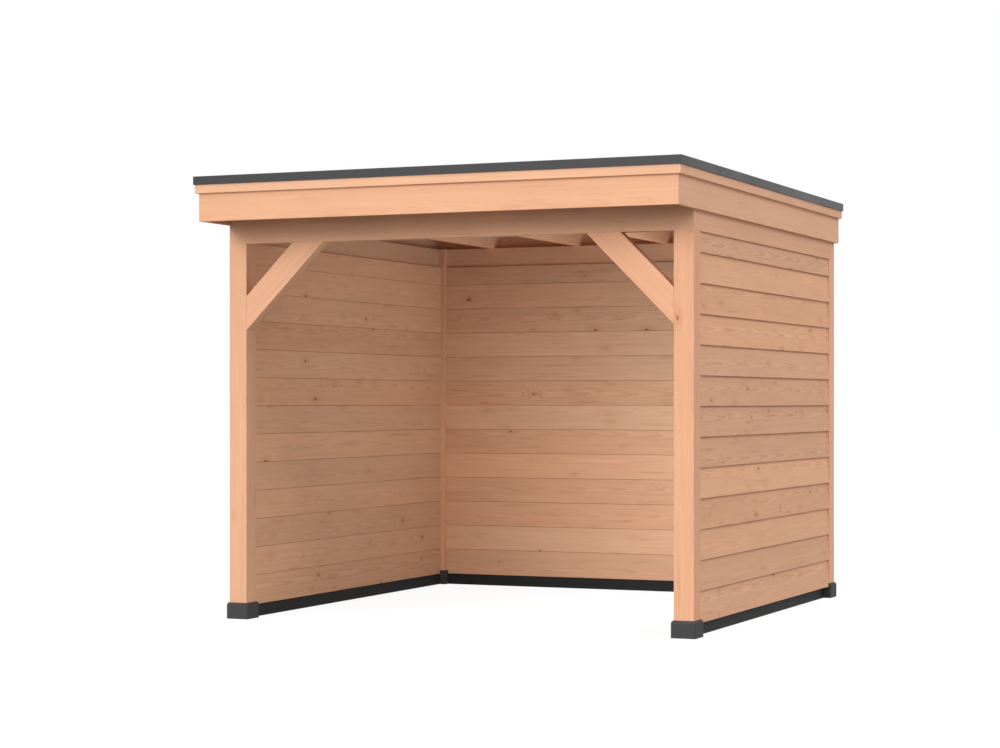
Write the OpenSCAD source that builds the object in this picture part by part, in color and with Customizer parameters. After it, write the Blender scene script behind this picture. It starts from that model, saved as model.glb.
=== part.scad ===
// Garden canopy: a square timber shelter with three boarded walls, an open front
// with two knee braces, and a flat roof that reaches out over the front.
// Millimetres, +Z up, front towards -Y. The origin is on the ground, under the middle of the roof.

/* [Plan] */
// Width over the outer faces of the posts
canopy_w = 3000; // [2400:10:4200]
// Depth over the outer faces of the posts
canopy_d = 3000; // [2400:10:4200]
// Height from the ground to the underside of the ring beams
ring_z = 2300; // [1900:5:2700]

/* [Posts and feet] */
// Side of the square corner posts
post_side = 119; // [110:1:160]
// Width by which a foot stands out past its post on every side
foot_proud = 14.5; // [10:0.5:30]
// Height of the moulded feet
foot_h = 100; // [70:1:150]
// Thickness of the floor of a foot, under the end of the post
foot_floor = 20; // [8:1:40]
// Play between a post and the socket of its foot
socket_play = 0.5; // [0.2:0.1:1]
// Height of the sloped rim of a foot
rim_h = 13; // [4:1:20]
// Flat left on top of the rim of a foot
rim_flat = 3; // [1:0.5:6]
// Bevel on the upright corners of a foot
foot_bevel = 6; // [2:0.5:12]

/* [Base rails] */
// Distance of the rails behind the outer faces of the posts
rail_set_back = 37; // [20:1:50]
// Thickness of the rails
rail_t = 48; // [25:1:60]
// Bevel along the top edges of the rails
rail_bevel = 4; // [1:0.5:8]

/* [Ring beams and braces] */
// Thickness of the ring beams and braces
ring_t = 70; // [45:1:80]
// Height of the ring beams
ring_h = 145; // [95:1:195]
// Distance from the inner corner of post and header to the upper edge of a brace
brace_reach = 320; // [200:5:500]
// Width of the face of a brace
brace_w = 148; // [90:1:180]

/* [Wall boards] */
// Height of the lower edge of the wall boards
wall_z = 77; // [60:1:110]
// Height of the lowest joint between the wall boards
first_joint = 258; // [200:1:300]
// Height that one board covers
board_pitch = 175; // [120:1:220]
// Thickness of a lapped outer board at its lower edge
board_thick = 25; // [18:0.5:32]
// Thickness of a lapped outer board at its upper edge
board_thin = 12; // [8:0.5:16]
// Distance of the outer boards behind the outer faces of the posts
board_set_back = 2; // [0:0.5:8]
// Thickness of the inner boards
lining_t = 18; // [12:0.5:27]
// Height by which the inner boards run up over the ring beams
lining_lap = 12; // [4:1:40]
// Depth of the V joints between the inner boards
joint_v = 3; // [1:0.5:5]
// Play between the boards and the feet that they are notched around
notch_play = 0.5; // [0.2:0.1:2]

/* [Roof] */
// Reach of the roof past the front posts
front_reach = 325; // [100:5:600]
// Reach of the roof past the back posts
back_reach = 37; // [30:1:300]
// Thickness of the rafters
rafter_t = 45; // [36:1:70]
// Height of the rafters
rafter_h = 145; // [95:1:195]
// Distance from the left side of the posts to the middle of the first rafter
rafter_first = 468; // [300:1:600]
// Distance from the right side of the posts to the middle of the last rafter
rafter_last = 537; // [300:1:600]
// Thickness of the roof boards
deck_t = 22; // [15:1:30]
// Thickness of the roof membrane
membrane_t = 3; // [1:0.5:6]

/* [Roof edge] */
// Thickness of the fascia boards
fascia_t = 22; // [16:1:30]
// Height of the fascia boards
fascia_h = 195; // [170:1:260]
// Thickness of the upper edge strips
strip_t = 18; // [12:1:27]
// Height of the upper edge strips
strip_h = 100; // [80:1:140]
// Height by which the upper strips lap over the fascia boards
strip_lap = 27; // [15:1:60]
// Distance by which the edge trim stands out past the strips
trim_proud = 8; // [5:0.5:20]
// Height of the outer leg of the edge trim
trim_h = 50; // [30:1:70]
// Thickness of the sheet of the edge trim
trim_t = 2; // [1:0.5:4]

/* [Hidden] */

WOOD = "#d9a27c";
SHADED_WOOD = "#b98863";
GRAPHITE = "#47484a";
MEMBRANE = "#2f3032";

// The roof outline is the outer face of the fascia boards, centred on the origin
roof_half_w = canopy_w / 2 + fascia_t;
roof_half_d = (front_reach + canopy_d + back_reach) / 2;
front_y = front_reach - roof_half_d;
back_y = front_y + canopy_d;
ring_top = ring_z + ring_h;
deck_z = ring_top + rafter_h;
deck_top = deck_z + deck_t;
membrane_top = deck_top + membrane_t;
strip_z = deck_top - strip_lap;
strip_top = strip_z + strip_h;
trim_top = strip_top + trim_t;
foot_side = post_side + 2 * foot_proud;
brace_foot = brace_reach + brace_w * sqrt(2);
rafter_count = 4;
rafter_pitch = (canopy_w - rafter_first - rafter_last) / (rafter_count - 1);
joint_heights = [for (z = first_joint; z < ring_z - joint_v; z = z + board_pitch) z];
row_edges = concat([wall_z], joint_heights, [ring_z]);

// Puts a piece drawn at an outer corner, reaching inwards along +X and +Y, at one of the four corners
module corner(right, back) {
    translate([right ? canopy_w / 2 : -canopy_w / 2, back ? back_y : front_y, 0])
        mirror([right ? 1 : 0, 0, 0])
            mirror([0, back ? 1 : 0, 0])
                children();
}

// Extrudes a wall section, drawn as depth behind the post faces and height, along +Y about its middle
module wall_run(length) {
    rotate([90, 0, 0])
        linear_extrude(length, center = true)
            children();
}

// Puts a wall that faces -X at the left, right or back side
module on_left() {
    translate([-canopy_w / 2, (front_y + back_y) / 2, 0])
        children();
}

module on_right() {
    mirror([1, 0, 0])
        on_left()
            children();
}

module on_back() {
    translate([0, back_y, 0])
        rotate(-90)
            children();
}

// A square post, notched at its head so that the ring beams sit flush with its outer faces
module post(right, back) {
    color(WOOD)
        corner(right, back) {
            translate([0, 0, foot_floor])
                cube([post_side, post_side, ring_z - foot_floor]);
            translate([ring_t, ring_t, ring_z])
                cube([post_side - ring_t, post_side - ring_t, ring_h]);
        }
}

// Side view of a foot: straight sides with a sloped rim
module foot_outline() {
    rim_side = post_side + 2 * (socket_play + rim_flat);
    polygon([
        [-foot_side / 2, 0],
        [foot_side / 2, 0],
        [foot_side / 2, foot_h - rim_h],
        [rim_side / 2, foot_h],
        [-rim_side / 2, foot_h],
        [-foot_side / 2, foot_h - rim_h]
    ]);
}

// Plan of a foot: a square with bevelled corners
module foot_plan() {
    half = foot_side / 2;
    flat = half - foot_bevel;
    polygon([
        [-half, -flat], [-flat, -half], [flat, -half], [half, -flat],
        [half, flat], [flat, half], [-flat, half], [-half, flat]
    ]);
}

// A moulded cup that keeps the end of the post off the ground
module foot(right, back) {
    socket = post_side + 2 * socket_play;
    color(GRAPHITE)
        corner(right, back)
            translate([post_side / 2, post_side / 2, 0])
                difference() {
                    intersection() {
                        linear_extrude(foot_h)
                            foot_plan();
                        wall_run(foot_side)
                            foot_outline();
                        rotate(90)
                            wall_run(foot_side)
                                foot_outline();
                    }
                    translate([-socket / 2, -socket / 2, foot_floor])
                        cube([socket, socket, foot_h]);
                }
}

// The dark rail under a wall, from foot to foot
module base_rail(span) {
    color(GRAPHITE)
        wall_run(span - 2 * (post_side + foot_proud))
            translate([rail_set_back, 0])
                polygon([
                    [0, 0], [rail_t, 0],
                    [rail_t, wall_z - rail_bevel], [rail_t - rail_bevel, wall_z],
                    [rail_bevel, wall_z], [0, wall_z - rail_bevel]
                ]);
}

// Section of the lapped outer boards: every board is thin at its top and stands proud at its lower edge
module lapped_section() {
    taper = (board_thick - board_thin) / board_pitch;
    back = board_set_back + board_thick;
    faces = [
        for (i = [0 : len(row_edges) - 2])
            let (low = row_edges[i], high = row_edges[i + 1])
                each [[board_set_back, low], [board_set_back + taper * (high - low), high]]
    ];
    polygon(concat(faces, [[back, ring_z], [back, wall_z]]));
}

// Section of the flat inner boards, with a V joint between neighbours
module lining_section() {
    face = ring_t + lining_t;
    top = ring_z + lining_lap;
    grooves = [
        for (z = joint_heights)
            each [[face, z - joint_v], [face - joint_v, z], [face, z + joint_v]]
    ];
    polygon(concat([[ring_t, wall_z], [face, wall_z]], grooves, [[face, top], [ring_t, top]]));
}

// A skin of boards between two posts, notched around the tops of the feet
module board_skin(span) {
    run = span - 2 * post_side;
    notch = foot_proud + notch_play;
    notch_top = foot_h + notch_play;
    color(WOOD)
        difference() {
            wall_run(run)
                children();
            for (end = [-1, 1])
                translate([post_side / 2, end * run / 2, 0])
                    cube([foot_side, 2 * notch, 2 * notch_top], center = true);
        }
}

module outer_boards(span) {
    board_skin(span)
        lapped_section();
}

module inner_boards(span) {
    board_skin(span)
        lining_section();
}

// The front and back beams run over the full width, and the side beams fit between them
module cross_beam(back) {
    color(back ? SHADED_WOOD : WOOD)
        translate([-canopy_w / 2, back ? back_y - ring_t : front_y, ring_z])
            cube([canopy_w, ring_t, ring_h]);
}

module side_beam() {
    color(WOOD)
        translate([0, -canopy_d / 2 + ring_t, ring_z])
            cube([ring_t, canopy_d - 2 * ring_t, ring_h]);
}

// A knee brace at 45 degrees between a front post and the header
module brace(right) {
    color(WOOD)
        corner(right, false)
            translate([post_side, ring_t, ring_z])
                rotate([90, 0, 0])
                    linear_extrude(ring_t)
                        polygon([[brace_reach, 0], [0, -brace_reach], [0, -brace_foot], [brace_foot, 0]]);
}

// A rafter lies on the header and the back beam and ends against the two fascia boards
module rafter(number) {
    reach = roof_half_d - fascia_t;
    color(SHADED_WOOD)
        translate([rafter_first + (number - 1) * rafter_pitch - (canopy_w + rafter_t) / 2, -reach, ring_top])
            cube([rafter_t, 2 * reach, rafter_h]);
}

module roof_deck() {
    half_d = roof_half_d - fascia_t;
    color(SHADED_WOOD)
        translate([-canopy_w / 2, -half_d, deck_z])
            cube([canopy_w, 2 * half_d, deck_t]);
}

module roof_membrane() {
    color(MEMBRANE)
        translate([-roof_half_w, -roof_half_d, deck_top])
            cube([2 * roof_half_w, 2 * roof_half_d, membrane_t]);
}

// One bar of a mitred frame along the front: from inner to outer are distances out from the roof outline
module mitred_bar(half_len, half_dist, inner, outer, z, height) {
    translate([0, 0, z])
        linear_extrude(height)
            polygon([
                [-half_len - outer, -half_dist - outer], [half_len + outer, -half_dist - outer],
                [half_len + inner, -half_dist - inner], [-half_len - inner, -half_dist - inner]
            ]);
}

module fascia(half_len, half_dist) {
    color(WOOD)
        mitred_bar(half_len, half_dist, -fascia_t, 0, deck_top - fascia_h, fascia_h);
}

module strip(half_len, half_dist) {
    color(WOOD)
        mitred_bar(half_len, half_dist, 0, strip_t, strip_z, strip_h);
}

// Folded edge trim: outer leg with a return lip, top flange over the strip, inner leg down to the membrane
module trim(half_len, half_dist) {
    face = strip_t + trim_proud;
    lip_z = trim_top - trim_h;
    color(GRAPHITE) {
        mitred_bar(half_len, half_dist, face - trim_t, face, lip_z, trim_h);
        mitred_bar(half_len, half_dist, strip_t, face, lip_z, trim_t);
        mitred_bar(half_len, half_dist, -trim_t, face, strip_top, trim_t);
        mitred_bar(half_len, half_dist, -trim_t, 0, membrane_top, trim_top - membrane_top);
    }
}

// Quarter turns that take a bar drawn along the front to the other sides
module to_back() {
    rotate(180)
        children();
}

module to_left() {
    rotate(-90)
        children();
}

module to_right() {
    rotate(90)
        children();
}

post(false, false);  // front_left_post
post(true, false);  // front_right_post
post(false, true);  // back_left_post
post(true, true);  // back_right_post
foot(false, false);  // front_left_foot
foot(true, false);  // front_right_foot
foot(false, true);  // back_left_foot
foot(true, true);  // back_right_foot
on_left() base_rail(canopy_d);  // left_base_rail
on_right() base_rail(canopy_d);  // right_base_rail
on_back() base_rail(canopy_w);  // back_base_rail
on_left() outer_boards(canopy_d);  // left_outer_boards
on_right() outer_boards(canopy_d);  // right_outer_boards
on_back() outer_boards(canopy_w);  // back_outer_boards
on_left() inner_boards(canopy_d);  // left_inner_boards
on_right() inner_boards(canopy_d);  // right_inner_boards
on_back() inner_boards(canopy_w);  // back_inner_boards
cross_beam(false);  // front_header
cross_beam(true);  // back_beam
on_left() side_beam();  // left_beam
on_right() side_beam();  // right_beam
brace(false);  // left_brace
brace(true);  // right_brace
rafter(1);  // rafter_1
rafter(2);  // rafter_2
rafter(3);  // rafter_3
rafter(4);  // rafter_4
roof_deck();
roof_membrane();
fascia(roof_half_w, roof_half_d);  // front_fascia
to_back() fascia(roof_half_w, roof_half_d);  // back_fascia
to_left() fascia(roof_half_d, roof_half_w);  // left_fascia
to_right() fascia(roof_half_d, roof_half_w);  // right_fascia
strip(roof_half_w, roof_half_d);  // front_strip
to_back() strip(roof_half_w, roof_half_d);  // back_strip
to_left() strip(roof_half_d, roof_half_w);  // left_strip
to_right() strip(roof_half_d, roof_half_w);  // right_strip
trim(roof_half_w, roof_half_d);  // front_trim
to_back() trim(roof_half_w, roof_half_d);  // back_trim
to_left() trim(roof_half_d, roof_half_w);  // left_trim
to_right() trim(roof_half_d, roof_half_w);  // right_trim
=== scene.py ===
"""Garden canopy: planks, feet, trim and a studio stage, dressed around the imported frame."""

import math

import bmesh
import bpy
import numpy as np
from mathutils import Euler, Matrix, Vector, noise


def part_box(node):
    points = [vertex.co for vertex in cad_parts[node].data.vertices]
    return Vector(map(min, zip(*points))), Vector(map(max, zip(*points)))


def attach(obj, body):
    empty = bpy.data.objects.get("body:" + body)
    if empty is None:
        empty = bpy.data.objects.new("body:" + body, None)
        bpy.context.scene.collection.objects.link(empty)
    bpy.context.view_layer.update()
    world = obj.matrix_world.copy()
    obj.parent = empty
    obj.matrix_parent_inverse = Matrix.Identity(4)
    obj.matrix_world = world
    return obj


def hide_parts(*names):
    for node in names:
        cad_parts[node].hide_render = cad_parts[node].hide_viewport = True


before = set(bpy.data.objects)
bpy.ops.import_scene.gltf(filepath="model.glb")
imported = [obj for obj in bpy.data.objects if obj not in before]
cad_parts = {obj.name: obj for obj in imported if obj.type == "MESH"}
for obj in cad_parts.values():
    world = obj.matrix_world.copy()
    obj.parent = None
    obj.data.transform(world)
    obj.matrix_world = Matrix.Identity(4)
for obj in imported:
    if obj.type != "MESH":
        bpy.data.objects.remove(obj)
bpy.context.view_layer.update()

bl_info = {
    "name": "Garden canopy",
    "version": (1, 0, 0),
    "blender": (4, 5, 0),
    "location": "3D View > Sidebar > Canopy",
    "description": "Dresses the frame of a timber garden canopy and sets up its studio stage",
    "category": "Object",
}

BODY = "root"
CORNERS = ("front_left", "front_right", "back_left", "back_right")
WALLS = ("left", "right", "back")
SIDES = ("front", "back", "left", "right")
RAFTERS = tuple(sorted(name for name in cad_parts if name.startswith("rafter_")))
ALONG_X = Vector((1, 0, 0))
ALONG_Y = Vector((0, 1, 0))
ALONG_Z = Vector((0, 0, 1))
WELD = 0.00001
FLAT_ANGLE = math.radians(1)
ARRIS_ANGLE = math.radians(30)
ARRIS_FACES = 2


def screen_colour(red, green, blue):
    """A screen colour from 0 to 255 as the linear values that a colour socket takes."""
    shares = [channel / 255 for channel in (red, green, blue)]
    return tuple(s / 12.92 if s <= 0.04045 else ((s + 0.055) / 1.055) ** 2.4 for s in shares)


def length_setting(name, description, default):
    return bpy.props.FloatProperty(
        name=name, description=description, default=default, min=0, unit="LENGTH"
    )


def share_setting(name, description, default):
    return bpy.props.FloatProperty(
        name=name, description=description, default=default, min=0, subtype="FACTOR"
    )


def angle_setting(name, description, degrees):
    return bpy.props.FloatProperty(
        name=name, description=description, default=math.radians(degrees), subtype="ANGLE"
    )


def colour_setting(name, description, default):
    return bpy.props.FloatVectorProperty(
        name=name, description=description, default=default, size=3, min=0, max=1, subtype="COLOR"
    )


class TimberSettings(bpy.types.PropertyGroup):
    """The planed fir that the posts, beams, boards and fascias are cut from."""

    arris: length_setting("Arris", "Width of the softened edges of a timber", 0.0015)
    spring_wood: colour_setting("Spring wood", "Pale part of a growth ring", screen_colour(226, 172, 135))
    summer_wood: colour_setting("Summer wood", "Dark part of a growth ring", screen_colour(200, 133, 95))
    knot: colour_setting("Knot", "Heart of a knot", screen_colour(150, 99, 71))
    ring: length_setting("Ring", "Thickness of one growth ring", 0.0048)
    ring_depth: share_setting("Ring depth", "How far the dark part of a ring shows", 0.4)
    tone_spread: share_setting("Tone spread", "How far a plank is lighter or darker than others", 0.08)


class BoardSettings(bpy.types.PropertyGroup):
    """The boards of the walls and of the roof."""

    first_joint: length_setting("First joint", "Height of the lowest joint of the walls", 0.258)
    pitch: length_setting("Cover", "Height that one wall board covers", 0.175)
    thin_edge: length_setting("Thin edge", "Thickness of a lapped board at its upper edge", 0.012)
    arris: length_setting("Arris", "Width of the softened edges of a lapped board", 0.0015)
    joint: length_setting("Joint", "Width of the rounded edges between the inner boards", 0.0015)
    gap: length_setting("Gap", "Height of the open joints between the inner boards", 0.0014)
    foot_play: length_setting("Foot play", "Play between the boards and the feet", 0.0005)
    roof_pitch: length_setting("Roof cover", "Width that one roof board covers", 0.121)


class DarkSettings(bpy.types.PropertyGroup):
    """The dark pieces: moulded feet and rails, the folded trim and the roof sheet."""

    foot: colour_setting("Foot", "Colour of the moulded feet", screen_colour(67, 67, 67))
    rail: colour_setting("Rail", "Colour of the base rails", screen_colour(40, 41, 41))
    trim: colour_setting("Trim", "Colour of the folded edge trim", screen_colour(18, 18, 18))
    sheet: colour_setting("Sheet", "Colour of the roof sheet", screen_colour(58, 59, 61))
    moulded_edge: length_setting("Moulded edge", "Width of the rounded edges of feet and rails", 0.0012)
    folded_edge: length_setting("Folded edge", "Width of the rounded edges of the trim", 0.0006)


class StageSettings(bpy.types.PropertyGroup):
    """The camera, the lamps and the light from all round."""

    eye: bpy.props.FloatVectorProperty(
        name="Eye",
        description="Place of the camera",
        default=(5.5473, -13.3975, 1.338),
        subtype="XYZ",
        unit="LENGTH",
    )
    turn: angle_setting("Turn", "Angle of the camera about the upright axis", 23.4942)
    focal_pixels: bpy.props.FloatProperty(
        name="Focal length", description="Focal length in pixels of the picture", default=2252.87, min=1
    )
    horizon: bpy.props.FloatProperty(
        name="Horizon",
        description="Height of the horizon in pixels from the top of the picture",
        default=400.836,
    )
    key_level: share_setting("Key level", "Light of the key lamp, from the left of the front", 0.47)
    front_level: share_setting("Front level", "Light of the low lamp that reaches in at the front", 0.26)
    side_level: share_setting("Side level", "Light of the lamp on the right", 0.32)
    sky_level: share_setting("Sky level", "Light from all round", 0.68)
    panel_level: share_setting("Panel level", "Light of the panel that fills the inside", 2.7)
    panel_tint: colour_setting(
        "Panel tint", "Colour of the panel, cool against the warm walls", (0.56, 0.85, 1.0)
    )


class Field:
    """A node output that takes part in sums. Each sum adds one Math node."""

    def __init__(self, graph, socket):
        self.graph = graph
        self.socket = socket

    def __add__(self, other):
        return self.graph.math("ADD", self, other)

    def __radd__(self, other):
        return self.graph.math("ADD", other, self)

    def __sub__(self, other):
        return self.graph.math("SUBTRACT", self, other)

    def __rsub__(self, other):
        return self.graph.math("SUBTRACT", other, self)

    def __mul__(self, other):
        return self.graph.math("MULTIPLY", self, other)

    def __rmul__(self, other):
        return self.graph.math("MULTIPLY", other, self)

    def __truediv__(self, other):
        return self.graph.math("DIVIDE", self, other)

    def __rtruediv__(self, other):
        return self.graph.math("DIVIDE", other, self)


class Graph:
    """Short calls that add nodes to a tree and join them."""

    def __init__(self, tree):
        self.tree = tree

    def feed(self, socket, value):
        """Joins a field to a socket, or sets the socket to a plain value."""
        if isinstance(value, Field):
            self.tree.links.new(value.socket, socket)
        elif socket.type == "RGBA" and len(value) == 3:
            socket.default_value = (*value, 1)
        else:
            socket.default_value = value

    def add(self, kind, inputs=None, output=0, **settings):
        """Adds a node with the given settings and inputs, and returns one of its outputs."""
        node = self.tree.nodes.new(kind)
        for name, value in settings.items():
            setattr(node, name, value)
        for key, value in (inputs or {}).items():
            self.feed(node.inputs[key], value)
        return Field(self, node.outputs[output])

    def math(self, operation, *values):
        return self.add("ShaderNodeMath", dict(enumerate(values)), operation=operation)

    def join(self, x, y, z):
        return self.add("ShaderNodeCombineXYZ", {0: x, 1: y, 2: z})

    def split(self, vector):
        node = self.add("ShaderNodeSeparateXYZ", {0: vector}).socket.node
        return [Field(self, output) for output in node.outputs]


class Finish(Graph):
    """A node material with a Principled shader."""

    def __init__(self, name):
        self.material = bpy.data.materials.new(name)
        self.material.use_nodes = True
        super().__init__(self.material.node_tree)
        self.shader = self.tree.nodes["Principled BSDF"]

    def attribute(self, name):
        return self.add("ShaderNodeAttribute", output="Vector", attribute_name=name)

    def object_place(self):
        return self.add("ShaderNodeTexCoord", output="Object")

    def noise(self, place, detail=2, roughness=0.5, scale=1):
        inputs = {"Vector": place, "Scale": scale, "Detail": detail, "Roughness": roughness}
        return self.add("ShaderNodeTexNoise", inputs)

    def rise(self, value, low, high):
        """0 below low, 1 above high, and a smooth rise between them."""
        return self.add(
            "ShaderNodeMapRange",
            {"Value": value, "From Min": low, "From Max": high},
            interpolation_type="SMOOTHSTEP",
        )

    def mix(self, share, first, second, blend="MIX"):
        node = self.tree.nodes.new("ShaderNodeMix")
        node.data_type = "RGBA"
        node.blend_type = blend
        # The colours of a Mix node are its inputs 6 and 7 and its output 2
        for number, value in ((0, share), (6, first), (7, second)):
            self.feed(node.inputs[number], value)
        return Field(self, node.outputs[2])

    def scaled(self, colour, factor):
        """A colour made lighter or darker by a factor."""
        return self.mix(1.0, colour, self.join(factor, factor, factor), "MULTIPLY")

    def bump(self, height, distance, strength=1.0):
        inputs = {"Height": height, "Distance": distance, "Strength": strength}
        normal = self.add("ShaderNodeBump", inputs)
        self.feed(self.shader.inputs["Normal"], normal)

    def surface(self, **inputs):
        """Sets the shader's own sockets, with the words of a name joined by underscores."""
        for name, value in inputs.items():
            self.feed(self.shader.inputs[name.replace("_", " ")], value)


# Knots: the cells of a log that can hold one, the share that does, and the form and stain of a knot
KNOT_CELL = (0.32, 0.11, 0.05)
KNOT_SHARE = 0.65
KNOT_SMALLEST = 0.0035
KNOT_GROWTH = 0.008
KNOT_SQUEEZE = 0.5
KNOT_RIM = (0.7, 1.0)
KNOT_REACH = 2.8
KNOT_STAIN = (0.1, 0.18, 0.24)
# Growth rings: how far their heart wanders, how they sway and pass round a knot, and their dark part
HEART_WANDER = 0.06
RING_SWAY = 0.006
RING_PUSH = 1.3
SUMMER_START = (0.25, 0.9)
SUMMER_END = (0.92, 1.0)
# Marks of the grain: how often each kind repeats in a metre, along the log and across it
GRAIN_RATE = {
    "wander": (1.1, 2.2),
    "sway": (5.0, 14.0),
    "streak": (1.3, 42.0),
    "fibre": (6.0, 420.0),
    "fleck": (3.2, 46.0),
    "cloud": (1.6, 7.0),
}
STREAK_DETAIL = 3
STREAK_DEPTH = 0.22
FIBRE_DEPTH = 0.12
CLOUD_DEPTH = 0.14
FLECK_START = (0.58, 0.78)
# How strongly a feature shows in a plank of middling figure, and what full figure adds
KNOT_FIGURE = (0.6, 0.4)
RING_FIGURE = (0.65, 0.35)
FLECK_FIGURE = (0.45, 0.2)
WARM_SHIFT = (0.02, -0.022, -0.055)


def planed_fir(name, timber):
    """Planed fir: growth rings about the heart of a log, fibre, and knots that the rings pass."""
    fir = Finish(name)
    along, across, depth = fir.split(fir.attribute("plank"))
    tone_and_painted_light, warmth, figure = fir.split(fir.attribute("tint"))

    def marks(kind, detail=2):
        lengthwise, crosswise = GRAIN_RATE[kind]
        place = fir.join(along * lengthwise, across * crosswise, depth * crosswise)
        return fir.noise(place, detail)

    def by_figure(middling, more):
        return middling + figure * more

    # Knots: one place in each cell of the log, of which a share holds a knot
    cell_place = fir.join(along / KNOT_CELL[0], across / KNOT_CELL[1], depth / KNOT_CELL[2])
    cells = fir.add("ShaderNodeTexVoronoi", {"Vector": cell_place, "Scale": 1.0}).socket.node
    heart_x, heart_y, heart_z = fir.split(Field(fir, cells.outputs["Position"]))
    growth, chance, _ = fir.split(Field(fir, cells.outputs["Color"]))
    offset = fir.join(
        (along - heart_x * KNOT_CELL[0]) * KNOT_SQUEEZE,
        across - heart_y * KNOT_CELL[1],
        depth - heart_z * KNOT_CELL[2],
    )
    off_heart = fir.add("ShaderNodeVectorMath", {0: offset}, "Value", operation="LENGTH")
    present = fir.math("LESS_THAN", chance, by_figure(*KNOT_FIGURE) * KNOT_SHARE)
    knot_size = KNOT_SMALLEST + growth * KNOT_GROWTH
    knot_share = off_heart / knot_size
    knot = present * (1.0 - fir.rise(knot_share, *KNOT_RIM))
    halo = present * fir.math("EXPONENT", knot_share * knot_share * (-1.0 / KNOT_REACH ** 2))

    # Growth rings about a wandering heart line, pushed aside by the knots
    wander = marks("wander") - 0.5
    sway = marks("sway") - 0.5
    bowed = across + wander * HEART_WANDER
    radius = fir.math("SQRT", bowed * bowed + depth * depth)
    radius = radius + sway * RING_SWAY + halo * knot_size * RING_PUSH
    ring = fir.math("FRACT", radius / timber.ring)
    summer = fir.rise(ring, *SUMMER_START) * (1.0 - fir.rise(ring, *SUMMER_END))

    # Streaks and fibre along the grain
    streak = marks("streak", STREAK_DETAIL) - 0.5
    fibre = marks("fibre") - 0.5
    fleck = fir.rise(marks("fleck"), *FLECK_START)
    cloud = marks("cloud") - 0.5

    # Colour: rings, flecks, the tint of the plank, the marks of the grain, then stains and knots
    shown = summer * timber.ring_depth * by_figure(*RING_FIGURE)
    wood = fir.mix(shown, timber.spring_wood, timber.summer_wood)
    wood = fir.mix(fleck * by_figure(*FLECK_FIGURE), wood, timber.summer_wood)
    warm = fir.join(*(1.0 + warmth * shift for shift in WARM_SHIFT))
    wood = fir.mix(1.0, wood, warm, "MULTIPLY")
    # The tone holds painted light on the rafters and painted shade on the roof boards
    shade = 1.0 + tone_and_painted_light * timber.tone_spread
    shade = shade + streak * STREAK_DEPTH + fibre * FIBRE_DEPTH + cloud * CLOUD_DEPTH
    wood = fir.scaled(wood, shade)
    stain = fir.join(*(1.0 - halo * loss for loss in KNOT_STAIN))
    wood = fir.mix(1.0, wood, stain, "MULTIPLY")
    wood = fir.mix(knot, wood, timber.knot)
    roughness = 0.6 + summer * 0.12 + fibre * 0.1
    fir.surface(Base_Color=wood, Roughness=roughness, Specular_IOR_Level=0.35)
    fir.bump(summer * 0.5 + fibre + streak * 0.6, distance=0.0006, strength=0.6)
    return fir.material


def moulded_plastic(name, colour):
    """Moulded plastic with a fine spark grain and faint flow marks."""
    plastic = Finish(name)
    place = plastic.object_place()
    grain = plastic.noise(place, detail=2, roughness=0.6, scale=700)
    flow = plastic.noise(place, detail=3, roughness=0.5, scale=9) - 0.5
    scuff = plastic.noise(place, detail=4, roughness=0.7, scale=60)
    shade = 1.0 + flow * 0.22 + (grain - 0.5) * 0.16 + plastic.rise(scuff, 0.6, 0.8) * 0.12
    shaded = plastic.scaled(colour, shade)
    roughness = 0.58 + flow * 0.12 + grain * 0.1
    plastic.surface(Base_Color=shaded, Roughness=roughness, Specular_IOR_Level=0.1)
    plastic.bump(grain, distance=0.0003, strength=0.5)
    return plastic.material


def coated_sheet(name, colour):
    """Sheet metal with a satin coating that has a fine orange peel."""
    coat = Finish(name)
    place = coat.object_place()
    peel = coat.noise(place, detail=1, roughness=0.5, scale=420)
    cloud = coat.noise(place, detail=3, roughness=0.55, scale=3.5) - 0.5
    dust = coat.noise(place, detail=5, roughness=0.7, scale=28)
    shade = 1.0 + cloud * 0.16 + coat.rise(dust, 0.55, 0.85) * 0.14
    shaded = coat.scaled(colour, shade)
    roughness = 0.36 + cloud * 0.15 + dust * 0.1
    coat.surface(Base_Color=shaded, Roughness=roughness, Specular_IOR_Level=0.42)
    coat.bump(peel, distance=0.0002, strength=0.35)
    return coat.material


def roof_sheet(name, colour):
    """A rubber roof sheet with a matt, dusty face."""
    rubber = Finish(name)
    place = rubber.object_place()
    dust = rubber.noise(place, detail=6, roughness=0.65, scale=1.7)
    speckle = rubber.noise(place, detail=3, roughness=0.6, scale=95) - 0.5
    tooth = rubber.noise(place, detail=2, roughness=0.6, scale=900)
    shade = 0.9 + rubber.rise(dust, 0.4, 0.75) * 0.35 + speckle * 0.2
    rubber.surface(Base_Color=rubber.scaled(colour, shade), Roughness=0.78 + speckle * 0.2)
    rubber.bump(tooth + speckle, distance=0.0004, strength=0.5)
    return rubber.material


def new_piece(name, mesh):
    piece = bpy.data.objects.new(name, mesh)
    bpy.context.scene.collection.objects.link(piece)
    return piece


def settle(piece):
    """Turns a piece and its modifiers into a plain mesh with its faces outward."""
    depsgraph = bpy.context.evaluated_depsgraph_get()
    mesh = bpy.data.meshes.new_from_object(
        piece.evaluated_get(depsgraph), preserve_all_data_layers=True, depsgraph=depsgraph
    )
    piece.modifiers.clear()
    piece.data = mesh
    shell = bmesh.new()
    shell.from_mesh(mesh)
    bmesh.ops.recalc_face_normals(shell, faces=shell.faces)
    shell.to_mesh(mesh)
    shell.free()
    return piece


def soften(piece, width, limit="ANGLE"):
    """Adds a bevel that takes the sharpness off every arris, or off the edges with a bevel weight."""
    bevel = piece.modifiers.new("Arris", "BEVEL")
    bevel.width = width
    bevel.segments = ARRIS_FACES
    bevel.limit_method = limit
    bevel.angle_limit = ARRIS_ANGLE
    bevel.use_clamp_overlap = True


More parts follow.
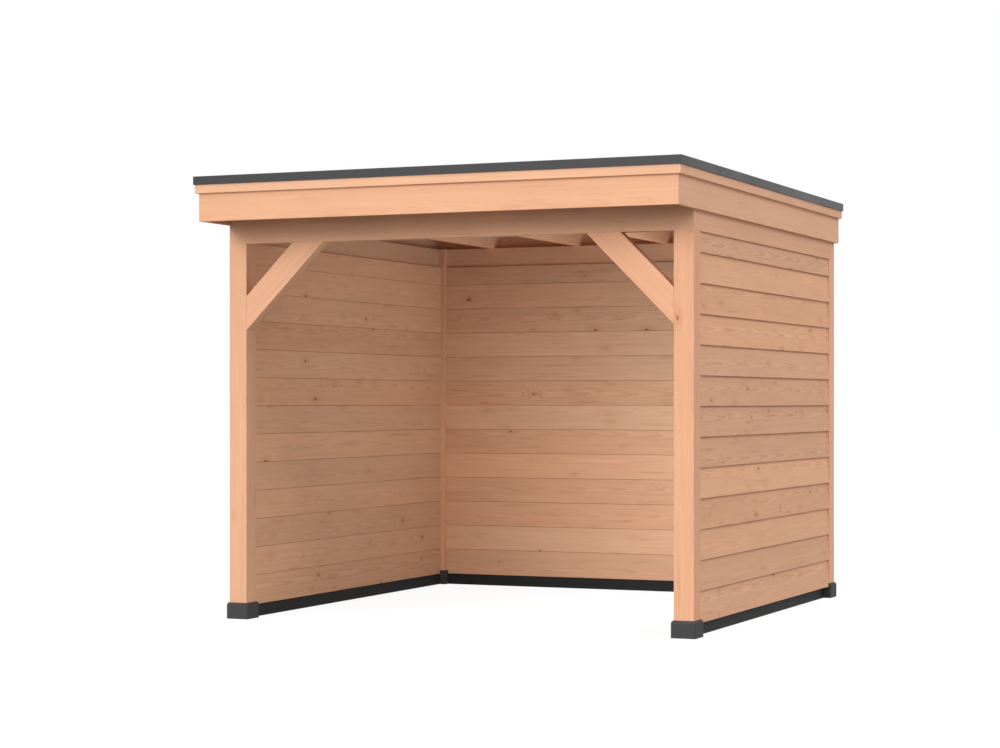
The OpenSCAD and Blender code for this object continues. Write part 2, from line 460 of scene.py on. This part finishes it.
def eased_copy(node, name, width):
    """A welded copy of a node of the frame with softened edges."""
    mesh = bpy.data.meshes.new(name)
    shell = bmesh.new()
    shell.from_mesh(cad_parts[node].data)
    bmesh.ops.remove_doubles(shell, verts=shell.verts, dist=WELD)
    bmesh.ops.dissolve_limit(shell, angle_limit=FLAT_ANGLE, verts=shell.verts, edges=shell.edges)
    shell.to_mesh(mesh)
    shell.free()
    piece = new_piece(name, mesh)
    soften(piece, width)
    return settle(piece)


def finish_piece(piece, material, slot, *nodes):
    """Gives a settled piece its material and its place in the frame."""
    piece.data.materials.clear()
    piece.data.materials.append(material)
    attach(piece, BODY)
    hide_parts(*nodes)


LOG_STRETCH = 60.0
LOG_TAPER = (0.006, 0.018)
# Ranges of a cut: the heart of the log beside the plank and behind it, and how much figure shows
FLAT_SAWN = ((-0.06, 0.06), (0.03, 0.10), (-1, 1))
STRAIGHT_SAWN = ((0.07, 0.12), (0.05, 0.11), (-1.45, -0.9))
# The first seed of each kind of piece, to which a piece adds its number
FIRST_SEED = {
    "post": 1020,
    "lapped_boards": 20,
    "lining_boards": 30,
    "beam": 510,
    "brace": 830,
    "rafter": 60,
    "roof_boards": 70,
    "fascia": 220,
    "strip": 90,
}


def lay_grain(mesh, along, outward, seed, cut=FLAT_SAWN, painted_lightness=0.0):
    """Writes where each point lies in its own plank, and how that plank is tinted.

    The planks of a mesh are told apart by its board attribute, or are one plank without it. Each plank
    comes from its own stretch of a log, with the heart of the log beside it and behind it by the ranges
    of the cut. A painted lightness of 1 makes all its planks lighter by the spread of the tones, as
    painted light, and one below 0 makes them darker, as painted shade.
    """
    count = len(mesh.vertices)
    points = np.empty(count * 3)
    mesh.vertices.foreach_get("co", points)
    axes = np.array([along, outward.cross(along), outward])
    places = points.reshape(count, 3) @ axes.T
    board = np.zeros(count, int)
    if "board" in mesh.attributes:
        mesh.attributes["board"].data.foreach_get("value", board)
    planks = board.max() + 1
    low = np.full((planks, 3), np.inf)
    high = np.full((planks, 3), -np.inf)
    np.minimum.at(low, board, places)
    np.maximum.at(high, board, places)
    draw = np.random.default_rng(seed)
    across, behind, figure = cut
    spans = ((0, LOG_STRETCH), across, behind)
    shift = np.column_stack([draw.uniform(*span, planks) for span in spans])
    taper = draw.uniform(*LOG_TAPER, planks)
    # The lightness of a plank is a random tone plus the painted lightness: painted light on the rafters,
    # painted shade on the roof boards
    spans = ((painted_lightness - 1, painted_lightness + 1), (-1, 1), figure)
    tint = np.column_stack([draw.uniform(*span, planks) for span in spans])
    plank = places - ((low + high) / 2)[board]
    plank[:, 2] += plank[:, 0] * taper[board]
    plank += shift[board]
    for name, values in (("plank", plank), ("tint", tint[board])):
        layer = mesh.attributes.new(name, "FLOAT_VECTOR", "POINT")
        layer.data.foreach_set("vector", values.astype(np.float32).ravel())


def timber_piece(node, along, outward, seed, settings, slot, painted_lightness=0.0):
    """One planed timber in place of a node of the frame."""
    piece = eased_copy(node, node + "_planed", settings.arris)
    lay_grain(piece.data, along, outward, seed, STRAIGHT_SAWN, painted_lightness)
    finish_piece(piece, fir_material(settings), slot, node)


def fir_material(settings):
    """The fir material, made once."""
    return bpy.data.materials.get("planed_fir") or planed_fir("planed_fir", settings)


BOARD_INPUTS = (
    ("Run", "Length of the boards"),
    ("Lower edge", "Height of the lower edge of the lowest board"),
    ("First joint", "Height of the lowest joint"),
    ("Pitch", "Height that one board covers"),
    ("Upper edge", "Height at which the highest board is cut off"),
    ("Gap", "Height of the open joint above a board"),
    ("Thick edge", "Thickness of a board at its lower edge"),
    ("Thin edge", "Thickness of a board at its upper edge"),
    ("Notch width", "Width of the notches at the lower corners"),
    ("Notch top", "Height of the top of the notches"),
)


# Half a row, which tells the lowest row from the others, and a limit inside the rim of the unit sheet
HALF_ROW = 0.5
INSIDE_RIM = 0.4


def board_tree():
    """A tree that stacks boards on each other and notches the lowest one around the feet.

    The boards run along Y and stand on each other along Z. Their outer faces are at X 0, and their backs
    at X of the thick edge. Each board is one unit box, whose corners are then put where the rule of its
    row says.
    """
    tree = bpy.data.node_groups.new("Board skin", "GeometryNodeTree")
    tree.is_modifier = True
    face = tree.interface
    face.new_socket("Geometry", in_out="OUTPUT", socket_type="NodeSocketGeometry")
    face.new_socket("Rows", in_out="INPUT", socket_type="NodeSocketInt")
    for name, description in BOARD_INPUTS:
        face.new_socket(name, in_out="INPUT", socket_type="NodeSocketFloat", description=description)
    face.new_socket("Material", in_out="INPUT", socket_type="NodeSocketMaterial")
    graph = Graph(tree)
    given = tree.nodes.new("NodeGroupInput")
    size = {output.name: Field(graph, output) for output in given.outputs if output.name}

    # The lowest board: a sheet of three by two cells without its lower corner cells, given its thickness
    notch_y = 0.5 - size["Notch width"] / size["Run"]
    notch_z = (size["Notch top"] - size["Lower edge"]) / (size["First joint"] - size["Lower edge"])
    sheet = graph.add(
        "GeometryNodeMeshGrid", {"Size X": 1.0, "Size Y": 1.0, "Vertices X": 4, "Vertices Y": 3}
    )
    grid_x, grid_y, _ = graph.split(graph.add("GeometryNodeInputPosition"))
    inner_x = graph.math("LESS_THAN", graph.math("ABSOLUTE", grid_x), INSIDE_RIM)
    inner_y = graph.math("LESS_THAN", graph.math("ABSOLUTE", grid_y), INSIDE_RIM)
    sheet_y = grid_x + inner_x * (graph.math("SIGN", grid_x) * notch_y - grid_x)
    sheet_z = 0.5 + grid_y + inner_y * (notch_z - 0.5 - grid_y)
    sheet = graph.add(
        "GeometryNodeSetPosition", {"Geometry": sheet, "Position": graph.join(0.0, sheet_y, sheet_z)}
    )
    _, cell_y, cell_z = graph.split(graph.add("GeometryNodeInputPosition"))
    corner = graph.math("GREATER_THAN", graph.math("ABSOLUTE", cell_y), notch_y)
    corner = corner * graph.math("LESS_THAN", cell_z, notch_z)
    sheet = graph.add(
        "GeometryNodeDeleteGeometry", {"Geometry": sheet, "Selection": corner}, domain="FACE"
    )
    pulled = graph.add(
        "GeometryNodeExtrudeMesh",
        {"Mesh": sheet, "Offset": (1.0, 0.0, 0.0), "Offset Scale": 1.0, "Individual": False},
        mode="FACES",
    )
    closed = tree.nodes.new("GeometryNodeJoinGeometry")
    for part in (graph.add("GeometryNodeFlipFaces", {"Mesh": sheet}), pulled):
        tree.links.new(part.socket, closed.inputs[0])
    notched = graph.add("GeometryNodeMergeByDistance", {"Geometry": Field(graph, closed.outputs[0])})

    # The other boards: plain boxes in the same unit space
    plain = graph.add("GeometryNodeMeshCube", {"Size": (1.0, 1.0, 1.0)})
    plain = graph.add("GeometryNodeTransform", {"Geometry": plain, "Translation": (0.5, 0.0, 0.5)})

    # One point for each row: the lowest row takes the notched board, and the others the plain one
    index = graph.add("GeometryNodeInputIndex")
    rows = graph.add(
        "GeometryNodeMeshLine", {"Count": size["Rows"], "Offset": (0.0, 0.0, 0.0)}, mode="OFFSET"
    )
    rows = graph.add(
        "GeometryNodeStoreNamedAttribute",
        {"Geometry": rows, "Name": "board", "Value": index},
        data_type="INT",
        domain="POINT",
    )
    lowest = graph.math("LESS_THAN", index, HALF_ROW)
    lowest = lowest * graph.math("GREATER_THAN", size["Notch width"], 0.0)
    joined = tree.nodes.new("GeometryNodeJoinGeometry")
    for part, chosen in ((notched, lowest), (plain, 1.0 - lowest)):
        placed = graph.add(
            "GeometryNodeInstanceOnPoints", {"Points": rows, "Selection": chosen, "Instance": part}
        )
        tree.links.new(placed.socket, joined.inputs[0])
    stacked = Field(graph, joined.outputs[0])
    boards = graph.add("GeometryNodeRealizeInstances", {"Geometry": stacked})

    # The rule of a row: where it starts and ends, and how its outer face leans
    row = graph.add("GeometryNodeInputNamedAttribute", {"Name": "board"}, data_type="INT")
    unit_x, unit_y, unit_z = graph.split(graph.add("GeometryNodeInputPosition"))
    joint = size["First joint"] + row * size["Pitch"]
    low = graph.math("MAXIMUM", joint - size["Pitch"], size["Lower edge"])
    low = low + graph.math("LESS_THAN", row, HALF_ROW) * (size["Lower edge"] - low)
    high = graph.math("MINIMUM", joint - size["Gap"], size["Upper edge"])
    height = unit_z * (high - low)
    lean = (size["Thick edge"] - size["Thin edge"]) / size["Pitch"] * height
    boards = graph.add(
        "GeometryNodeSetPosition",
        {
            "Geometry": boards,
            "Position": graph.join(
                lean + unit_x * (size["Thick edge"] - lean), unit_y * size["Run"], low + height
            ),
        },
    )

    # Only the edges along the run are softened, so that the ends stay tight against the posts
    edge = tree.nodes.new("GeometryNodeInputMeshEdgeVertices")
    ends = [graph.split(Field(graph, edge.outputs[name])) for name in ("Position 1", "Position 2")]
    along = graph.math("GREATER_THAN", graph.math("ABSOLUTE", ends[0][1] - ends[1][1]), WELD)
    sharp = graph.math("GREATER_THAN", graph.add("GeometryNodeInputMeshEdgeAngle"), ARRIS_ANGLE)
    boards = graph.add(
        "GeometryNodeStoreNamedAttribute",
        {"Geometry": boards, "Name": "bevel_weight_edge", "Value": along * sharp},
        data_type="FLOAT",
        domain="EDGE",
    )
    boards = graph.add("GeometryNodeSetMaterial", {"Geometry": boards, "Material": size["Material"]})
    ending = tree.nodes.new("NodeGroupOutput")
    tree.links.new(boards.socket, ending.inputs[0])
    return tree


def board_skin(name, place, material, arris, rows, **sizes):
    """A skin of boards, made by the tree in its own space and then put in its place."""
    tree = bpy.data.node_groups.get("Board skin") or board_tree()
    piece = new_piece(name, bpy.data.meshes.new(name))
    skin = piece.modifiers.new("Boards", "NODES")
    skin.node_group = tree
    values = {"Rows": rows, "Material": material}
    values.update({key.replace("_", " ").capitalize(): value for key, value in sizes.items()})
    for item in tree.interface.items_tree:
        if item.in_out == "INPUT":
            skin[item.identifier] = values[item.name]
    soften(piece, arris, "WEIGHT")
    settle(piece)
    piece.data.transform(place)
    return piece


def wall_place(wall, low, high):
    """The matrix that stands a skin of boards on one side of the box, with its outer face outward."""
    middle = (low + high) / 2
    turn, spot = {
        "left": (0, Vector((low.x, middle.y, 0))),
        "right": (180, Vector((high.x, middle.y, 0))),
        "back": (-90, Vector((middle.x, high.y, 0))),
    }[wall]
    return Matrix.Translation(spot) @ Matrix.Rotation(math.radians(turn), 4, "Z")


def wall_outward(wall):
    return {"left": -ALONG_X, "right": ALONG_X, "back": ALONG_Y}[wall]


def wall_along(wall):
    return ALONG_X if wall == "back" else ALONG_Y


def wall_sizes(wall, low, high, boards):
    """The sizes that both skins of a wall share, from the frame and the board settings."""
    _, foot_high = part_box("back_left_foot")
    _, post_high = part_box("back_left_post")
    extent = high - low
    return {
        "rows": 1 + math.ceil((high.z - boards.first_joint - boards.joint) / boards.pitch),
        "run": extent.x if wall == "back" else extent.y,
        "lower_edge": low.z,
        "first_joint": boards.first_joint,
        "pitch": boards.pitch,
        "upper_edge": high.z,
        "thick_edge": extent.y if wall == "back" else extent.x,
        "notch_width": foot_high.x - post_high.x + boards.foot_play,
        "notch_top": foot_high.z + boards.foot_play,
    }


class CANOPY_OT_corner_posts(bpy.types.Operator):
    """Make the four corner posts"""

    bl_idname = "canopy.corner_posts"
    bl_label = "Corner posts"

    def execute(self, context):
        timber = context.scene.canopy_timber
        for number, corner in enumerate(CORNERS):
            seed = FIRST_SEED["post"] + number
            timber_piece(corner + "_post", ALONG_Z, -ALONG_Y, seed, timber, "frame_timber")
        return {"FINISHED"}


class CANOPY_OT_feet_and_rails(bpy.types.Operator):
    """Make the moulded feet and the base rails between them"""

    bl_idname = "canopy.feet_and_rails"
    bl_label = "Feet and base rails"

    def execute(self, context):
        dark = context.scene.canopy_dark
        groups = (
            ("foot", CORNERS, dark.foot, "moulded_feet"),
            ("base_rail", WALLS, dark.rail, "base_rails"),
        )
        for kind, places, colour, slot in groups:
            material = moulded_plastic("moulded_" + kind, colour)
            for place in places:
                node = f"{place}_{kind}"
                piece = eased_copy(node, node + "_moulded", dark.moulded_edge)
                finish_piece(piece, material, slot, node)
        return {"FINISHED"}


class CANOPY_OT_lapped_boards(bpy.types.Operator):
    """Make the lapped boards on the outside of the three walls"""

    bl_idname = "canopy.lapped_boards"
    bl_label = "Lapped boards"

    def execute(self, context):
        boards = context.scene.canopy_boards
        material = fir_material(context.scene.canopy_timber)
        for number, wall in enumerate(WALLS):
            node = wall + "_outer_boards"
            low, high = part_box(node)
            sizes = wall_sizes(wall, low, high, boards)
            skin = board_skin(
                wall + "_lapped_boards", wall_place(wall, low, high), material, boards.arris,
                thin_edge=boards.thin_edge, gap=0.0, **sizes
            )
            seed = FIRST_SEED["lapped_boards"] + number
            lay_grain(skin.data, wall_along(wall), wall_outward(wall), seed)
            finish_piece(skin, material, "wall_boards", node)
        return {"FINISHED"}


class CANOPY_OT_lining_boards(bpy.types.Operator):
    """Make the flat boards on the inside of the three walls"""

    bl_idname = "canopy.lining_boards"
    bl_label = "Lining boards"

    def execute(self, context):
        boards = context.scene.canopy_boards
        material = fir_material(context.scene.canopy_timber)
        for number, wall in enumerate(WALLS):
            node = wall + "_inner_boards"
            low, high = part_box(node)
            sizes = wall_sizes(wall, low, high, boards)
            skin = board_skin(
                wall + "_lining_boards", wall_place(wall, low, high), material, boards.joint,
                thin_edge=sizes["thick_edge"], gap=boards.gap, **sizes
            )
            seed = FIRST_SEED["lining_boards"] + number
            lay_grain(skin.data, wall_along(wall), -wall_outward(wall), seed)
            finish_piece(skin, material, "wall_boards", node)
        return {"FINISHED"}


class CANOPY_OT_ring_beams(bpy.types.Operator):
    """Make the header and the three other beams of the ring"""

    bl_idname = "canopy.ring_beams"
    bl_label = "Ring beams"

    def execute(self, context):
        timber = context.scene.canopy_timber
        beams = (
            ("front_header", ALONG_X, -ALONG_Y),
            ("back_beam", ALONG_X, -ALONG_Y),
            ("left_beam", ALONG_Y, -ALONG_X),
            ("right_beam", ALONG_Y, ALONG_X),
        )
        for number, (node, along, outward) in enumerate(beams):
            timber_piece(node, along, outward, FIRST_SEED["beam"] + number, timber, "frame_timber")
        return {"FINISHED"}


class CANOPY_OT_knee_braces(bpy.types.Operator):
    """Make the two knee braces of the open front"""

    bl_idname = "canopy.knee_braces"
    bl_label = "Knee braces"

    def execute(self, context):
        timber = context.scene.canopy_timber
        for number, (side, slope) in enumerate((("left", 1), ("right", -1))):
            along = Vector((slope, 0, 1)).normalized()
            seed = FIRST_SEED["brace"] + number
            timber_piece(side + "_brace", along, -ALONG_Y, seed, timber, "frame_timber")
        return {"FINISHED"}


# Painted light: the rafters are made lighter than the other planks, for light that does not reach their
# sides
RAFTER_PAINTED_LIGHT = 2.5
# Painted shade: the roof boards are made darker than the other planks, for the shade under the roof
DECK_PAINTED_SHADE = -5.0


class CANOPY_OT_rafters(bpy.types.Operator):
    """Make the rafters"""

    bl_idname = "canopy.rafters"
    bl_label = "Rafters"

    def execute(self, context):
        timber = context.scene.canopy_timber
        for number, node in enumerate(RAFTERS):
            seed = FIRST_SEED["rafter"] + number
            # The rafters are made lighter as painted light
            timber_piece(node, ALONG_Y, ALONG_X, seed, timber, "roof_timber", RAFTER_PAINTED_LIGHT)
        return {"FINISHED"}


class CANOPY_OT_roof_boards(bpy.types.Operator):
    """Make the roof boards that lie on the rafters"""

    bl_idname = "canopy.roof_boards"
    bl_label = "Roof boards"

    def execute(self, context):
        boards = context.scene.canopy_boards
        material = fir_material(context.scene.canopy_timber)
        low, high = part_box("roof_deck")
        depth = high.y - low.y
        rows = round(depth / boards.roof_pitch)
        pitch = depth / rows
        # The boards run along X and lie one behind the other along Y, with their outer faces down
        lay = Matrix(((0, 1, 0), (0, 0, 1), (1, 0, 0))).to_4x4()
        place = Matrix.Translation(((low.x + high.x) / 2, low.y, low.z)) @ lay
        thickness = high.z - low.z
        skin = board_skin(
            "roof_deck_boards", place, material, boards.joint, rows, run=high.x - low.x, lower_edge=0.0,
            first_joint=pitch, pitch=pitch, upper_edge=depth, thick_edge=thickness, thin_edge=thickness,
            gap=0.0, notch_width=0.0, notch_top=0.0
        )
        # The roof boards are made darker as painted shade
        lay_grain(skin.data, ALONG_X, -ALONG_Z, FIRST_SEED["roof_boards"], FLAT_SAWN, DECK_PAINTED_SHADE)
        finish_piece(skin, material, "roof_timber", "roof_deck")
        return {"FINISHED"}


SHEET_CELL = 0.06
SHEET_DIP = 0.0012
SHEET_WAVE = 1.9


class CANOPY_OT_membrane(bpy.types.Operator):
    """Make the roof sheet, which dips a little inside its rim"""

    bl_idname = "canopy.membrane"
    bl_label = "Roof sheet"

    def execute(self, context):
        low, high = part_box("roof_membrane")
        extent = high - low
        middle = (low + high) / 2
        shell = bmesh.new()
        columns = round(extent.x / SHEET_CELL)
        rows = round(extent.y / SHEET_CELL)
        bmesh.ops.create_grid(shell, x_segments=columns, y_segments=rows, size=0.5)
        for corner in shell.verts:
            x = middle.x + corner.co.x * extent.x
            y = middle.y + corner.co.y * extent.y
            corner.co = Vector((x, y, high.z))
            if not corner.is_boundary:
                corner.co.z -= SHEET_DIP * (0.5 + 0.5 * noise.noise(corner.co * SHEET_WAVE))
        rim = [edge for edge in shell.edges if edge.is_boundary]
        skirt = bmesh.ops.extrude_edge_only(shell, edges=rim)["geom"]
        for corner in skirt:
            if isinstance(corner, bmesh.types.BMVert):
                corner.co.z = low.z
        bmesh.ops.edgeloop_fill(shell, edges=[edge for edge in shell.edges if edge.is_boundary])
        bmesh.ops.recalc_face_normals(shell, faces=shell.faces)
        mesh = bpy.data.meshes.new("roof_membrane_sheet")
        shell.to_mesh(mesh)
        shell.free()
        sheet = new_piece("roof_membrane_sheet", mesh)
        material = roof_sheet("roof_sheet", context.scene.canopy_dark.sheet)
        finish_piece(sheet, material, "roof_membrane", "roof_membrane")
        return {"FINISHED"}


class CANOPY_OT_roof_edge_boards(bpy.types.Operator):
    """Make the fascia boards and the upper strips round the roof"""

    bl_idname = "canopy.roof_edge_boards"
    bl_label = "Roof edge boards"

    def execute(self, context):
        timber = context.scene.canopy_timber
        facing = {"front": -ALONG_Y, "back": ALONG_Y, "left": -ALONG_X, "right": ALONG_X}
        for number, side in enumerate(SIDES):
            along = ALONG_Y if side in ("left", "right") else ALONG_X
            for kind in ("fascia", "strip"):
                seed = FIRST_SEED[kind] + number
                timber_piece(f"{side}_{kind}", along, facing[side], seed, timber, "roof_edge_boards")
        return {"FINISHED"}


class CANOPY_OT_edge_trim(bpy.types.Operator):
    """Make the folded trim on the roof edge"""

    bl_idname = "canopy.edge_trim"
    bl_label = "Edge trim"

    def execute(self, context):
        dark = context.scene.canopy_dark
        material = coated_sheet("coated_trim", dark.trim)
        for side in SIDES:
            node = side + "_trim"
            piece = eased_copy(node, node + "_folded", dark.folded_edge)
            finish_piece(piece, material, "edge_trim", node)
        return {"FINISHED"}


PICTURE_WIDTH = 1000
PICTURE_HEIGHT = 748
SENSOR_WIDTH = 36.0
FLOOR_HALF = 60.0
FLOOR_DROP = 0.0005
# The floor shows this white, mixed with a pale share that takes shadows, and throws this grey back
FLOOR_WHITE = 1.08
FLOOR_PALE = 0.9
FLOOR_GREY = 0.3
SHADOW_SHARE = 0.16
LAMP_SPREAD = math.radians(30)
# Each lamp's angle to the right of the front and above the floor
LAMPS = {"key": (-25, 25), "front": (0, 10), "side": (75, 42)}
# The panel stands inside along the right wall and faces the left one
PANEL_PLACE = (1.15, 0.2, 1.4)
PANEL_SIZE = (2.0, 1.6)
PANEL_TURN = (math.radians(90), 0, math.radians(90))


def seen_directly(graph):
    """1 for the rays that show the background itself: from the camera, in gloss or through glass."""
    path = graph.tree.nodes.new("ShaderNodeLightPath")
    kinds = ("Camera", "Glossy", "Transmission")
    rays = [Field(graph, path.outputs[f"Is {kind} Ray"]) for kind in kinds]
    return graph.math("MAXIMUM", graph.math("MAXIMUM", rays[0], rays[1]), rays[2])


def mixed_shaders(graph, share, first, second):
    return graph.add("ShaderNodeMixShader", {0: share, 1: first, 2: second})


def plain_diffuse(graph, grey):
    return graph.add("ShaderNodeBsdfDiffuse", {"Color": (grey, grey, grey)})


def pale_floor(name):
    """A floor that shows white with a faint shadow, and throws light back as a grey one does."""
    material = bpy.data.materials.new(name)
    material.use_nodes = True
    graph = Graph(material.node_tree)
    graph.tree.nodes.remove(graph.tree.nodes["Principled BSDF"])
    white = graph.add("ShaderNodeEmission", {"Color": (1, 1, 1), "Strength": FLOOR_WHITE})
    shown = mixed_shaders(graph, SHADOW_SHARE, white, plain_diffuse(graph, FLOOR_PALE))
    unseen = plain_diffuse(graph, FLOOR_GREY)
    floor = mixed_shaders(graph, seen_directly(graph), unseen, shown)
    graph.feed(graph.tree.nodes["Material Output"].inputs["Surface"], floor)
    return material


def studio_world(name, level):
    """Even light from all round, which shows as plain white."""
    world = bpy.data.worlds.new(name)
    world.use_nodes = True
    graph = Graph(world.node_tree)
    graph.tree.nodes.remove(graph.tree.nodes["Background"])
    light = graph.add("ShaderNodeBackground", {"Color": (1, 1, 1), "Strength": level})
    white = graph.add("ShaderNodeBackground", {"Color": (1, 1, 1), "Strength": 1.0})
    graph.feed(
        graph.tree.nodes["World Output"].inputs["Surface"],
        mixed_shaders(graph, seen_directly(graph), light, white),
    )
    return world


def place_camera(scene, stage):
    camera = bpy.data.objects.new("camera", bpy.data.cameras.new("camera"))
    camera.location = stage.eye
    camera.rotation_euler = Euler((math.radians(90), 0, stage.turn))
    camera.data.sensor_width = SENSOR_WIDTH
    camera.data.lens = SENSOR_WIDTH * stage.focal_pixels / PICTURE_WIDTH
    camera.data.shift_y = (stage.horizon - PICTURE_HEIGHT / 2) / PICTURE_WIDTH
    scene.collection.objects.link(camera)
    scene.camera = camera


def place_lamps(scene, stage):
    """Three broad lamps outside and the panel inside."""
    for name, (side, height) in LAMPS.items():
        lamp = bpy.data.objects.new(name, bpy.data.lights.new(name, "SUN"))
        lamp.data.energy = math.pi * getattr(stage, name + "_level")
        lamp.data.angle = LAMP_SPREAD
        lamp.rotation_euler = Euler((math.radians(90 - height), 0, math.radians(side)))
        scene.collection.objects.link(lamp)
    panel = bpy.data.objects.new("panel", bpy.data.lights.new("panel", "AREA"))
    panel.data.shape = "RECTANGLE"
    panel.data.size, panel.data.size_y = PANEL_SIZE
    panel.data.energy = math.pi * math.prod(PANEL_SIZE) * stage.panel_level
    panel.data.color = stage.panel_tint
    panel.location = PANEL_PLACE
    panel.rotation_euler = Euler(PANEL_TURN)
    panel.visible_camera = False
    panel.visible_glossy = False
    scene.collection.objects.link(panel)


def lay_floor():
    mesh = bpy.data.meshes.new("floor")
    half = FLOOR_HALF
    corners = [(-half, -half), (half, -half), (half, half), (-half, half)]
    mesh.from_pydata([(x, y, -FLOOR_DROP) for x, y in corners], [], [(0, 1, 2, 3)])
    floor = new_piece("floor", mesh)
    floor.data.materials.append(pale_floor("pale_floor"))


class CANOPY_OT_stage(bpy.types.Operator):
    """Set up the camera, the lamps, the floor and the white surroundings"""

    bl_idname = "canopy.stage"
    bl_label = "Stage"

    def execute(self, context):
        scene = context.scene
        stage = scene.canopy_stage
        scene.view_settings.view_transform = "Standard"
        scene.world = studio_world("studio", stage.sky_level)
        place_camera(scene, stage)
        place_lamps(scene, stage)
        lay_floor()
        return {"FINISHED"}


class CANOPY_PT_sidebar(bpy.types.Panel):
    """Lists the settings and the steps"""

    bl_idname = "CANOPY_PT_sidebar"
    bl_label = "Garden canopy"
    bl_space_type = "VIEW_3D"
    bl_region_type = "UI"
    bl_category = "Canopy"

    def draw(self, context):
        layout = self.layout
        for group, _ in SETTINGS:
            box = layout.box()
            settings = getattr(context.scene, group)
            for name in settings.bl_rna.properties.keys():
                if name not in ("rna_type", "name"):
                    box.prop(settings, name)
        for step in STEPS:
            layout.operator(step.bl_idname)


SETTINGS = (
    ("canopy_timber", TimberSettings),
    ("canopy_boards", BoardSettings),
    ("canopy_dark", DarkSettings),
    ("canopy_stage", StageSettings),
)
STEPS = (
    CANOPY_OT_stage,
    CANOPY_OT_corner_posts,
    CANOPY_OT_feet_and_rails,
    CANOPY_OT_lapped_boards,
    CANOPY_OT_lining_boards,
    CANOPY_OT_ring_beams,
    CANOPY_OT_knee_braces,
    CANOPY_OT_rafters,
    CANOPY_OT_roof_boards,
    CANOPY_OT_membrane,
    CANOPY_OT_roof_edge_boards,
    CANOPY_OT_edge_trim,
)


def register():
    for name, group in SETTINGS:
        bpy.utils.register_class(group)
        setattr(bpy.types.Scene, name, bpy.props.PointerProperty(type=group))
    for step in STEPS:
        bpy.utils.register_class(step)
    bpy.utils.register_class(CANOPY_PT_sidebar)


def unregister():
    bpy.utils.unregister_class(CANOPY_PT_sidebar)
    for step in reversed(STEPS):
        bpy.utils.unregister_class(step)
    for name, group in reversed(SETTINGS):
        delattr(bpy.types.Scene, name)
        bpy.utils.unregister_class(group)


def main():
    register()
    bpy.ops.canopy.stage()
    bpy.ops.canopy.corner_posts()
    bpy.ops.canopy.feet_and_rails()
    bpy.ops.canopy.lapped_boards()
    bpy.ops.canopy.lining_boards()
    bpy.ops.canopy.ring_beams()
    bpy.ops.canopy.knee_braces()
    bpy.ops.canopy.rafters()
    bpy.ops.canopy.roof_boards()
    bpy.ops.canopy.membrane()
    bpy.ops.canopy.roof_edge_boards()
    bpy.ops.canopy.edge_trim()


if __name__ == "__main__":
    main()
